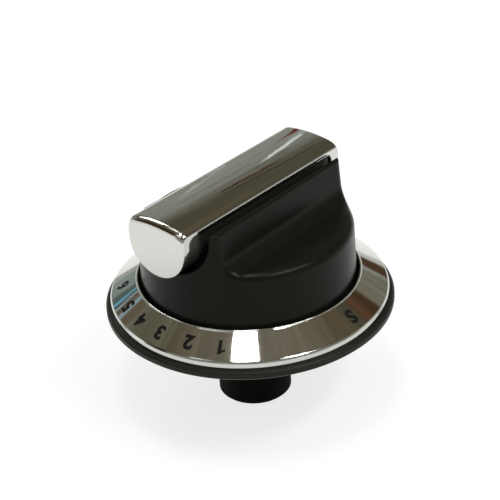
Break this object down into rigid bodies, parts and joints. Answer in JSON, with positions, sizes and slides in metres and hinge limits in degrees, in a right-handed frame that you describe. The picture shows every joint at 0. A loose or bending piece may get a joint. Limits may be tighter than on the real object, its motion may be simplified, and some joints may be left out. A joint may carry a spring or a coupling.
{
  "type": "cooker control knob",
  "caption": "Cooker control knob with a black drum, a finger ridge under a crowned chrome cap that ends in a nose, a chrome bezel ring, a base plate and a stem for a D spindle.",
  "frame": {"origin": "centre of the stem's lower end face, on the spindle's axis", "axes": "+Z along the spindle's axis, from the panel out towards the hand; the grip lies along X with its nose, which points at the scale, towards -X; +Y completes a right-handed frame"},
  "size_m": [0.06, 0.06, 0.0519],
  "materials": {
    "plate_plastic": "black moulded plastic, fine satin",
    "stem_plastic": "black glass-filled plastic, dull",
    "spring_steel": "bright spring steel strip",
    "zinc_steel": "zinc-plated steel",
    "ring_chrome": "polished chrome plate with printed black scale marks",
    "body_plastic": "satin black moulded plastic",
    "core_plastic": "satin black moulded plastic",
    "cap_chrome": "polished chrome plate on a moulded cap"
  },
  "bodies": {
    "root": {"base_plate": "plate_plastic", "spindle_stem": "stem_plastic", "spindle_clip": "spring_steel", "base_screws": "zinc_steel", "bezel_ring": "ring_chrome", "knob_body": "body_plastic", "grip_core": "core_plastic", "grip_cap": "cap_chrome"}
  },
  "joints": []
}
